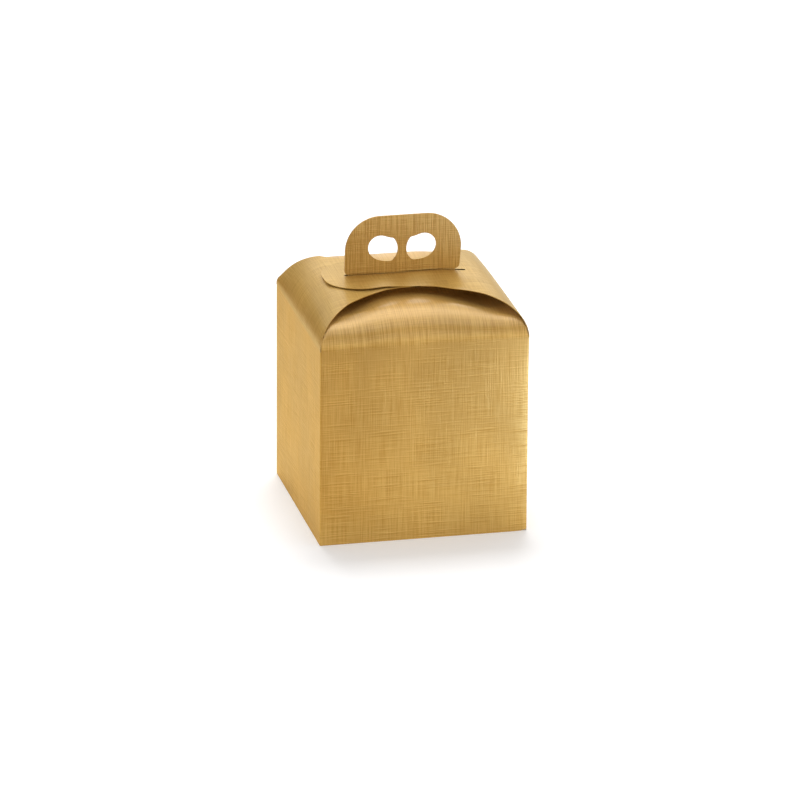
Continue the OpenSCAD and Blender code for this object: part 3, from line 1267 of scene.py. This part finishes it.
@dataclass
class Studio:
    """Pale floor, soft lights and the camera."""

    eye: Triple = (-1.3895, -6.0918, 2.3751)
    azimuth: float = -12.849
    elevation: float = 19.764
    roll: float = 0.348
    lens: float = 315.0
    shift: Point = (-1.17 / 800, -26.95 / 800)
    LAMPS = (
        ("key_lamp", (0.1, 0.85, 2.60), 0.9, 38.0, False),
        ("top_panel", (0.30, 0.50, 2.45), 1.5, 9.4, True),
        ("back_panel", (0.45, 2.50, 1.25), 1.7, 7.0, True),
    )
    BOARDS = (
        ("horizon_flag", (-1.35, 3.2, 0.30), (3.3, 0.004, 1.10), (0.32, 0.17, 0.03)),
        ("back_left_flag", (-0.75, 1.68, 0.004), (1.5, 1.84, 0.004), (0.42, 0.25, 0.07)),
        ("front_top_flag", (0.5, -1.9, 1.75), (1.6, 0.5, 0.9), (0.34, 0.22, 0.10)),
        ("front_reflector", (0.6, -2.6, 0.30), (1.6, 0.004, 0.56), (1.7, 1.7, 1.7)),
        ("wall_flag", (0.1, -0.57, 0.004), (1.3, 0.26, 0.004), (0.30, 0.18, 0.06)),
        ("handle_flag", (0.1, -1.13, 0.004), (1.3, 0.86, 0.004), (0.64, 0.51, 0.33)),
        ("left_flag", (-0.34, -0.38, 0.003), (0.62, 0.46, 0.004), (0.80, 0.64, 0.40)),
        ("right_reflector", (0.37, -0.40, 0.003), (0.36, 0.50, 0.004), (3.0, 3.9, 6.5)),
    )

    def build(self) -> None:
        """Sets up the floor, the light and the camera."""
        self._floor()
        self._world()
        for lamp in self.LAMPS:
            self._lamp(*lamp)
        for board in self.BOARDS:
            self._board(*board)
        self._camera()

    def _floor(self) -> None:
        """Lays a floor that is white to the camera and keeps the shadow."""
        Bench.clear()
        bpy.ops.mesh.primitive_plane_add(size=40.0, location=(0, 0, -0.0001))
        floor = Bench.named("floor")
        mat, net = Wiring.material("pale_floor")
        glow = net.add("ShaderNodeEmission", {"Strength": net.math("MULTIPLY", self._seen(net), 0.36)})
        matt = net.add("ShaderNodeBsdfDiffuse", {"Color": (0.80, 0.80, 0.81, 1.0)})
        net.show(net.add("ShaderNodeAddShader", {0: glow.outputs[0], 1: matt.outputs[0]}))
        floor.data.materials.append(mat)

    @staticmethod
    def _board(name: str, place: Triple, size: Triple, tone: Triple) -> None:
        """Sets up a flag or a reflector that only shows as a reflection in the foil.

        Args:
            name: Its name.
            place: Its middle.
            size: Its size.
            tone: Light that it gives back.
        """
        board = Bench.block(name, place, size)
        mat, net = Wiring.material(name)
        net.show(net.add("ShaderNodeEmission", {"Color": (*tone, 1.0)}))
        board.data.materials.append(mat)
        board.visible_camera = False
        board.visible_diffuse = False
        board.visible_shadow = False

    @staticmethod
    def _seen(net: Wiring) -> Socket:
        """Gives 1 for what the camera sees, straight or by gloss, and else 0."""
        path = net.add("ShaderNodeLightPath").outputs
        return net.math("MAXIMUM", net.math("MAXIMUM", path["Is Camera Ray"], path["Is Glossy Ray"]),
                        path["Is Transmission Ray"])

    def _world(self) -> None:
        """Lights the scene softly from all round, white where it is seen."""
        world = bpy.data.worlds.new("studio")
        bpy.context.scene.world = world
        world.use_nodes = True
        net = Wiring(world.node_tree)
        strength = net.math("MULTIPLY_ADD", self._seen(net), 0.56, 0.44)
        white = {"Color": (1.0, 1.0, 1.0, 1.0), "Strength": strength}
        net.show(net.add("ShaderNodeBackground", white), "ShaderNodeOutputWorld")

    @staticmethod
    def _lamp(name: str, place: Triple, size: float, power: float, glossy: bool) -> None:
        """Hangs a square softbox that faces the carton.

        Args:
            name: Its name.
            place: Where it hangs.
            size: Length of its sides.
            power: Its power in watts.
            glossy: Whether it shows as a reflection.
        """
        Bench.clear()
        bpy.ops.object.light_add(type="AREA", location=place)
        lamp = bpy.context.object
        lamp.name = name
        lamp.data.shape = "SQUARE"
        lamp.data.size = size
        lamp.data.energy = power
        lamp.visible_glossy = glossy
        aim = Vector((0, 0, 0.12)) - Vector(place)
        lamp.rotation_euler = aim.to_track_quat("-Z", "Y").to_euler()

    def _camera(self) -> None:
        """Stands the camera where the photograph was taken from."""
        az, el, roll = (math.radians(a) for a in (self.azimuth, self.elevation, self.roll))
        back = Vector((math.sin(az) * math.cos(el), -math.cos(az) * math.cos(el), math.sin(el)))
        right = Vector((math.cos(az), math.sin(az), 0.0))
        up = back.cross(right)
        turned = right * math.cos(roll) + up * math.sin(roll)
        upright = back.cross(turned)
        data = bpy.data.cameras.new("camera")
        data.sensor_width = 36.0
        data.lens = self.lens
        data.shift_x, data.shift_y = self.shift
        data.clip_end = 100.0
        camera = bpy.data.objects.new("camera", data)
        bpy.context.scene.collection.objects.link(camera)
        turn = Matrix((turned, upright, back)).transposed()
        camera.matrix_world = Matrix.Translation(self.eye) @ turn.to_4x4()
        bpy.context.scene.camera = camera


def main() -> None:
    """Builds the carton and the studio."""
    logging.basicConfig(level=logging.INFO, format="%(name)s: %(message)s")
    bpy.context.scene.view_settings.view_transform = "Standard"
    Carton().build()
    Studio().build()
    LOG.info("sizes written")


if __name__ == "__main__":
    main()
